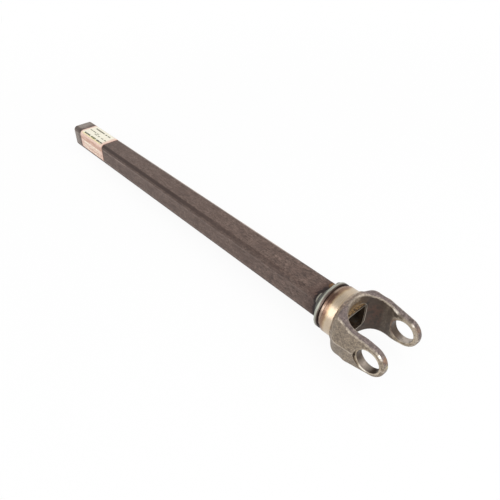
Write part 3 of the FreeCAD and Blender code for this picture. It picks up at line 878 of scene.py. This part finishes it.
def weld_tree():
    """Ring of weld: its section runs from toe to root, down the lip and back along the tube, with ripples."""
    square = rounded_square_group()
    tree, g, given, out = node_group(
        "Weld bead", "GeometryNodeTree",
        [("Geometry", "Geometry", None), ("Ripples", "Int", 84), ("Ripple Height", "Float", 0.0003),
         ("Bulge", "Float", 0.0007), ("Toe Cover", "Float", 0.00035), ("Root Radius", "Float", 0.0303),
         ("Back Radius", "Float", 0.0252), ("Tube Half", "Float", 0.01905), ("Tube Corner", "Float", 0.007),
         ("Toe Place", "Float", -0.0928), ("Root Place", "Float", -0.086), ("Metal", "Material", None)],
        [("Geometry", "Geometry")])
    tree.is_modifier = True
    around = g.line(given["Ripples"], POINTS_PER_RIPPLE, 1.0)
    grid = g.add("GeometryNodeMeshGrid", {"Size X": 1.0, "Size Y": 1.0, "Vertices X": around,
                                          "Vertices Y": SECTION_POINTS})
    u, v, _ = g.axes(g.add("GeometryNodeInputPosition").outputs[0])
    angle = g.product(g.sum(u, 0.5), 2 * math.pi)
    section = g.sum(v, 0.5)
    skin = g.spread(section, 0.0, SKIN_END, smooth=False)
    down = g.spread(section, SKIN_END, LIP_END, smooth=False)
    back = g.spread(section, LIP_END, 1.0, smooth=False)

    def tube_radius(extra_half, corner):
        half = g.sum(given["Tube Half"], extra_half)
        node = g.add("GeometryNodeGroup", node_tree=square,
                     inputs={"Angle": angle, "Half": half, "Corner": corner})
        return node.outputs[0]

    rise = g.less(given["Root Radius"], g.sum(given["Tube Half"], given["Toe Cover"]))
    spread_out = g.line(rise, skin, given["Toe Cover"])
    pyramid = tube_radius(spread_out, g.sum(given["Tube Corner"], spread_out))
    cone_rise = g.less(given["Root Radius"], given["Back Radius"])
    cone = g.line(cone_rise, skin, given["Back Radius"])
    surface = g.math("SMOOTH_MIN", pyramid, cone, WELD_CORNER_BLEND)
    arch = g.math("SINE", g.product(skin, math.pi))
    lag = g.product(arch, arch, 2.2)
    phase = g.line(angle, g.product(given["Ripples"], 0.5), lag)
    scallop = g.size(g.math("SINE", phase))
    on_circle = g.vector(g.math("COSINE", angle), g.math("SINE", angle))
    uneven = g.add("ShaderNodeTexNoise", {"Vector": on_circle, "Scale": 2.6, "Detail": 2.0},
                   noise_dimensions="2D").outputs[0]
    swell = g.product(given["Bulge"], arch, uneven, 2.0)
    ripple = g.product(given["Ripple Height"], scallop, g.math("SQRT", arch))
    skin_radius = g.sum(surface, swell, ripple)
    tube_surface = g.less(tube_radius(0.0, given["Tube Corner"]), 0.05 * MM)
    at_toe = g.math("SMOOTH_MIN",
                    tube_radius(given["Toe Cover"], g.sum(given["Tube Corner"], given["Toe Cover"])),
                    given["Back Radius"], WELD_CORNER_BLEND)
    drop = g.product(g.less(tube_surface, skin_radius), down)
    close = g.product(g.less(at_toe, tube_surface), back)
    radius = g.sum(skin_radius, drop, close)
    leg = g.less(given["Root Place"], given["Toe Place"])
    ragged = g.product(g.less(uneven, 0.5), 1.4 * MM)
    toe = g.sum(given["Toe Place"], ragged)
    out_along = g.line(g.less(leg, ragged), g.less(skin, back), toe)
    moved = g.vector(out_along, g.product(radius, g.math("SINE", angle)),
                     g.product(radius, g.math("COSINE", angle)))
    shaped = g.add("GeometryNodeSetPosition", {"Geometry": grid.outputs[0], "Position": moved})
    joined = g.add("GeometryNodeMergeByDistance", {"Geometry": shaped.outputs[0], "Distance": 1e-6})
    smooth = g.add("GeometryNodeSetShadeSmooth", {"Geometry": joined.outputs[0]})
    real = g.add("GeometryNodeRealizeInstances", {"Geometry": smooth.outputs[0]})
    painted = g.add("GeometryNodeSetMaterial", {"Geometry": real.outputs[0], "Material": given["Metal"]})
    g.feed(out.inputs["Geometry"], painted.outputs[0])
    return tree


def grown(name, tree, values):
    """Object whose mesh is what a geometry tree makes from the named values, with no modifier left."""
    piece = placed(name, bpy.data.meshes.new(name + "_start"))
    modifier = piece.modifiers.new(name, "NODES")
    modifier.node_group = tree
    for item in tree.interface.items_tree:
        if item.item_type == "SOCKET" and item.in_out == "INPUT" and item.name in values:
            modifier[item.identifier] = values[item.name]
    depsgraph = bpy.context.evaluated_depsgraph_get()
    made = bpy.data.meshes.new_from_object(piece.evaluated_get(depsgraph))
    if not made.polygons:
        raise RuntimeError(name + " came out empty")
    piece.modifiers.clear()
    made.name = name
    piece.data = made
    return piece


def facing_out(piece):
    """Turn the faces of a closed piece outwards."""
    with editing(piece.data) as shape:
        bmesh.ops.recalc_face_normals(shape, faces=shape.faces)


def weld_metal(finish):
    """Weld metal: slate grey, pale along its two edges and dark in its dips."""
    material, g, shader, at = new_material("weld_metal", 0.8, 0.42)
    x = g.axes(at)["X"]
    grain = g.effect("Scale grain", {"Vector": at, "Light": finish.metal, "Dark": finish.dark,
                                     "Patch Share": 0.6, "Speck": 0.35})
    root = g.fade(x, -1.0, -0.1, 0, 0.12, origin=WELD_HIGH.x)
    toe = g.fade(x, 2.0, 0.8, 0, 0.9, origin=WELD_LOW.x)
    g.feed(shader.inputs["Base Color"], g.blend(g.most(root, toe), grain["Color"], finish.toe))
    bump(g, shader, grain["Height"], 0.06 * MM, 0.4)
    return material


class SHAFT_OT_weld(bpy.types.Operator):
    """Lay the rippled weld bead between the tube and the lip"""
    bl_idname = "shaft.weld"
    bl_label = "Weld bead"

    def execute(self, context):
        finish = context.scene.shaft_weld
        tube = context.scene.shaft_tube
        piece = grown("rippled_weld", weld_tree(), {
            "Ripples": finish.ripples, "Ripple Height": finish.ripple_height, "Bulge": finish.bulge,
            "Toe Cover": finish.toe_cover, "Root Radius": finish.root_radius,
            "Back Radius": finish.back_radius, "Tube Half": tube.side / 2,
            "Tube Corner": tube.corner_radius, "Toe Place": WELD_LOW.x, "Root Place": WELD_HIGH.x,
            "Metal": weld_metal(finish)})
        facing_out(piece)
        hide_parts("weld_bead")
        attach(piece, "root")
        return {"FINISHED"}


# The paper label

def label_paper(finish):
    """Coated paper: a cream field on top, pink at both ends and down the near side, a little soiled."""
    material, g, shader, at = new_material("label_paper", 0.0, 0.5, specular=0.3)
    x, y, z = g.axes(at)
    near_end, far_end = LABEL_HIGH.x, LABEL_LOW.x
    field = g.product(g.fade(x, 2, 6, origin=far_end), g.fade(x, -4, -12, origin=near_end),
                      g.fade(y, -17.8, -16.2))
    cream = g.blend(g.fade(y, -14.6, -16), finish.paper, finish.field_edge)

    # The near side: a darker streaked strip under the corner, faint pale blocks below it, and darker towards
    # the bottom
    side = g.fade(y, -18.2, -19.0)
    streak = g.noise(at, 3 * MM, detail=4, roughness=0.65, stretch=(4, 1, 1))
    strip = g.product(g.fade(z, 3, 7), g.fade(z, 15, 12), side, g.spread(streak, 0.36, 0.58, 0.25, 1.0))
    rows = g.size(g.math("SINE", g.product(z, math.pi / (5.2 * MM))))
    words = g.noise(at, 4 * MM, detail=2, stretch=(1.8, 1, 0.5))
    blocks = g.product(g.spread(rows, 0.35, 0.6), g.spread(words, 0.44, 0.53), g.fade(z, 7, 4), side,
                       g.fade(x, 5, 9, origin=far_end), g.fade(x, -9, -12, origin=near_end))
    darker_below = g.product(g.spread(streak, 0.56, 0.4, 0, 0.55), side, g.fade(z, 2, -3))
    end_line = g.fade(x, -1.8, -0.8, 0, 0.6, origin=near_end)
    soil = g.noise(at, 6 * MM, detail=4, roughness=0.65)
    base = g.coats(finish.tint, (field, cream), (strip, finish.side_strip), (blocks, finish.side_blocks),
                   (darker_below, finish.side_strip), (end_line, LABEL_END_LINE),
                   (g.spread(soil, 0.5, 0.8, 0, 0.35), LABEL_SOIL))
    g.feed(shader.inputs["Base Color"], base)
    g.feed(shader.inputs["Roughness"], g.spread(soil, 0.3, 0.7, 0.42, 0.6, smooth=False))
    bump(g, shader, soil, 0.1 * MM, 0.3)
    return material


def label_ink(finish):
    """Print: dark in the near row, but for its green middle, faded in the others."""
    material, g, shader, at = new_material("label_ink", 0.0, 0.6, specular=0.3)
    x, y, _ = g.axes(at)
    near_row = g.fade(y, -8, -10)
    start = LABEL_LOW.x
    green = g.product(g.fade(x, 31, 33, origin=start), g.fade(x, 52, 50, 0, 0.9, origin=start))
    dark = g.blend(green, finish.ink, finish.green_ink)
    patchy = g.spread(g.noise(at, 5 * MM, detail=2), 0.35, 0.6, 0.0, 0.6)
    pale = g.blend(g.most(g.fade(y, 6, 3), g.product(patchy, 0.6)), finish.far_ink, finish.faded_ink)
    g.feed(shader.inputs["Base Color"], g.blend(near_row, pale, dark))
    return material


def print_row_group():
    """One row of print marks along X: runs of small blocks of uneven width, with gaps between the runs."""
    group, g, given, out = node_group(
        "Print row", "GeometryNodeTree",
        [("Start", "Vector", None), ("Length", "Float", 0.06), ("Pitch", "Float", 0.0019),
         ("Height", "Float", 0.0026), ("Thickness", "Float", 0.00004), ("Gaps", "Float", 0.4),
         ("Seed", "Int", 1)],
        [("Geometry", "Geometry")])
    count = g.math("FLOOR", g.math("DIVIDE", given["Length"], given["Pitch"]))
    row = g.add("GeometryNodeMeshLine", {"Count": count, "Start Location": given["Start"],
                                         "Offset": g.vector(given["Pitch"])})
    index = g.add("GeometryNodeInputIndex").outputs[0]
    runs = g.add("ShaderNodeTexNoise", {"W": g.line(given["Seed"], 7.3, index), "Scale": 0.3, "Detail": 0.0},
                 noise_dimensions="1D").outputs[0]
    shown = g.math("GREATER_THAN", runs, given["Gaps"])
    body = g.vector(given["Pitch"], given["Height"], given["Thickness"])
    block = g.add("GeometryNodeMeshCube", {"Size": body, "Vertices Y": 4})
    sizes = g.add("FunctionNodeRandomValue", data_type="FLOAT_VECTOR")
    g.feed(sizes.inputs[0], SMALLEST_MARK)
    g.feed(sizes.inputs[1], LARGEST_MARK)
    g.feed(sizes.inputs["Seed"], given["Seed"])
    marks = g.add("GeometryNodeInstanceOnPoints", {"Points": row.outputs[0], "Selection": shown,
                                                   "Instance": block.outputs[0], "Scale": sizes.outputs[0]})
    g.feed(out.inputs["Geometry"],
           g.add("GeometryNodeRealizeInstances", {"Geometry": marks.outputs[0]}).outputs[0])
    return group


def print_tree():
    """Rows of print marks that lie on the label and follow it where it turns over the tube's corner."""
    row_group = print_row_group()
    tree, g, given, out = node_group(
        "Label print", "GeometryNodeTree",
        [("Geometry", "Geometry", None), ("Pitch", "Float", 0.0019),
         ("Thickness", "Float", 0.00004), ("Paper Top", "Float", 0.0193), ("Flat End", "Float", 0.01205),
         ("Turn Radius", "Float", 0.00725), ("Ink", "Material", None)],
        [("Geometry", "Geometry")])
    tree.is_modifier = True
    join = g.add("GeometryNodeJoinGeometry")
    for seed, (distance, row_y, row_length, height, gaps) in enumerate(PRINT_ROWS, 1):
        row = g.add("GeometryNodeGroup", node_tree=row_group, inputs={
            "Start": g.vector(LABEL_LOW.x + distance * MM, row_y * MM, given["Paper Top"]),
            "Length": row_length * MM, "Pitch": given["Pitch"], "Height": height * MM,
            "Thickness": given["Thickness"], "Gaps": gaps, "Seed": seed})
        g.tree.links.new(row.outputs[0], join.inputs[0])
    _, y, _ = g.axes(g.add("GeometryNodeInputPosition").outputs[0])
    past = g.most(g.less(g.size(y), given["Flat End"]), 0.0)
    square = g.less(g.product(given["Turn Radius"], given["Turn Radius"]), g.product(past, past))
    sag = g.less(g.math("SQRT", g.most(square, 0.0)), given["Turn Radius"])
    laid = g.add("GeometryNodeSetPosition", {"Geometry": join.outputs[0], "Offset": g.vector(z=sag)})
    real = g.add("GeometryNodeRealizeInstances", {"Geometry": laid.outputs[0]})
    painted = g.add("GeometryNodeSetMaterial", {"Geometry": real.outputs[0], "Material": given["Ink"]})
    g.feed(out.inputs["Geometry"], painted.outputs[0])
    return tree


class SHAFT_OT_label(bpy.types.Operator):
    """Finish the paper label and lay plain print marks on it"""
    bl_idname = "shaft.label"
    bl_label = "Paper label"

    def execute(self, context):
        finish = context.scene.shaft_label
        tube = context.scene.shaft_tube
        NODES["paper_label"].material_slots[0].material = label_paper(finish)
        thickness = LABEL_HIGH.z - tube.side / 2
        piece = grown("label_print", print_tree(), {
            "Pitch": finish.mark_pitch, "Thickness": finish.mark_thickness,
            "Paper Top": LABEL_HIGH.z + finish.mark_thickness * 0.4,
            "Flat End": tube.side / 2 - tube.corner_radius,
            "Turn Radius": tube.corner_radius + thickness, "Ink": label_ink(finish)})
        facing_out(piece)
        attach(piece, "root")
        return {"FINISHED"}


# The studio

def resting_slope():
    """Far bottom end of the tube, and the slope of the floor from there to the yoke's lowest swell."""
    heel = Vector((TUBE_LOW.x, 0, TUBE_LOW.z))
    slopes = [(v.co.z - heel.z) / (v.co.x - heel.x) for v in NODES["yoke"].data.vertices]
    return heel, min(slopes)


def seen_share(g):
    """1 for rays from the camera and for reflections, 0 for the light that falls on the object."""
    path = g.add("ShaderNodeLightPath").outputs
    return g.most(path["Is Camera Ray"], g.most(path["Is Glossy Ray"], path["Is Transmission Ray"]))


def floor_material():
    """Matt pale floor seen as white with the object's shadow kept, and open to a view from below."""
    material = bpy.data.materials.new("pale_floor")
    g = emptied(material)
    matt = g.add("ShaderNodeBsdfDiffuse", {"Color": (0.86, 0.86, 0.86)})
    white = g.add("ShaderNodeEmission", {"Color": (1, 1, 1), "Strength": 1.0})
    away = g.add("ShaderNodeVectorMath", {0: g.add("ShaderNodeTexCoord").outputs["Object"]},
                 operation="LENGTH")
    whiteness = g.spread(away.outputs["Value"], 0.5, 1.6, 0.93, 1.0)
    share = g.product(seen_share(g), whiteness)
    mixed = g.add("ShaderNodeMixShader", {0: share, 1: matt.outputs[0], 2: white.outputs[0]})
    below = g.add("ShaderNodeNewGeometry").outputs["Backfacing"]
    open_side = g.add("ShaderNodeMixShader", {0: below, 1: mixed.outputs[0],
                                              2: g.add("ShaderNodeBsdfTransparent").outputs[0]})
    g.add("ShaderNodeOutputMaterial", {"Surface": open_side.outputs[0]})
    return material


def studio_world(strength, ceiling):
    """Even light; the camera sees white, and metal sees white that darkens towards the ceiling."""
    world = bpy.data.worlds.new("studio")
    g = emptied(world)
    camera_ray = g.add("ShaderNodeLightPath").outputs["Is Camera Ray"]
    _, _, up = g.axes(g.add("ShaderNodeTexCoord").outputs["Generated"])
    reflected = g.most(g.spread(up, 0.62, 0.9, 1.0, ceiling), camera_ray)
    power = g.add("ShaderNodeMix", data_type="FLOAT")
    for index, value in ((0, seen_share(g)), (2, strength), (3, reflected)):
        g.feed(power.inputs[index], value)
    light = g.add("ShaderNodeBackground", {"Color": (1, 1, 1), "Strength": power.outputs[0]})
    g.add("ShaderNodeOutputWorld", {"Surface": light.outputs[0]})
    return world


def softbox(name, power, sides, away, aim, distance):
    """Area lamp that stands at a distance from the point aimed at, in the direction away."""
    lamp = bpy.data.lights.new(name, "AREA")
    lamp.shape = "RECTANGLE"
    lamp.size, lamp.size_y = sides
    lamp.energy = power
    stand = placed(name, lamp)
    direction = Vector(away).normalized()
    stand.location = Vector(aim) + direction * distance
    stand.rotation_euler = direction.to_track_quat("Z", "Y").to_euler()


class SHAFT_OT_studio(bpy.types.Operator):
    """Set the floor, the lamps and the camera"""
    bl_idname = "shaft.studio"
    bl_label = "Studio"

    def execute(self, context):
        settings = context.scene.shaft_studio
        scene = context.scene
        heel, slope = resting_slope()
        half = settings.floor_size / 2
        mesh = bpy.data.meshes.new("floor")
        corners = [(-half, -half), (half, -half), (half, half), (-half, half)]
        mesh.from_pydata([(x, y, heel.z + slope * (x - heel.x)) for x, y in corners], [], [(0, 1, 2, 3)])
        mesh.materials.append(floor_material())
        floor = placed("floor", mesh)

        scene.world = studio_world(settings.world_light, settings.ceiling)
        for name, power, *rest in LAMPS:
            softbox(name, getattr(settings, power), *rest)

        lens = bpy.data.cameras.new("camera")
        lens.lens = settings.lens
        lens.sensor_width = 36
        lens.clip_start = 0.01
        camera = placed("camera", lens)
        camera.location = settings.camera_place
        camera.rotation_euler = Euler(settings.camera_turn)
        scene.camera = camera
        scene.view_settings.view_transform = "Standard"
        return {"FINISHED"}


class SHAFT_PT_panel(bpy.types.Panel):
    """Lists the pieces of the shaft and the studio"""
    bl_label = "Power take-off shaft"
    bl_idname = "SHAFT_PT_panel"
    bl_space_type = "VIEW_3D"
    bl_region_type = "UI"
    bl_category = "Shaft"

    def draw(self, context):
        for operator in OPERATORS:
            self.layout.operator(operator.bl_idname)
        for name in SETTINGS:
            group = getattr(context.scene, name)
            box = self.layout.box()
            for key in type(group).__annotations__:
                box.prop(group, key)


OPERATORS = (SHAFT_OT_yoke, SHAFT_OT_tube, SHAFT_OT_weld, SHAFT_OT_label, SHAFT_OT_studio)
SETTINGS = {
    "shaft_yoke": YokeFinish,
    "shaft_tube": TubeFinish,
    "shaft_weld": WeldFinish,
    "shaft_label": LabelFinish,
    "shaft_studio": StudioSettings,
}


def register():
    for kind in (*SETTINGS.values(), *OPERATORS, SHAFT_PT_panel):
        bpy.utils.register_class(kind)
    for name, kind in SETTINGS.items():
        setattr(bpy.types.Scene, name, PointerProperty(type=kind))


def unregister():
    for name in SETTINGS:
        delattr(bpy.types.Scene, name)
    for kind in (SHAFT_PT_panel, *reversed(OPERATORS), *reversed(SETTINGS.values())):
        bpy.utils.unregister_class(kind)


def main():
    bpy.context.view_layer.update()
    register()
    bpy.ops.shaft.yoke()
    bpy.ops.shaft.tube()
    bpy.ops.shaft.weld()
    bpy.ops.shaft.label()
    bpy.ops.shaft.studio()


if __name__ == "__main__":
    main()
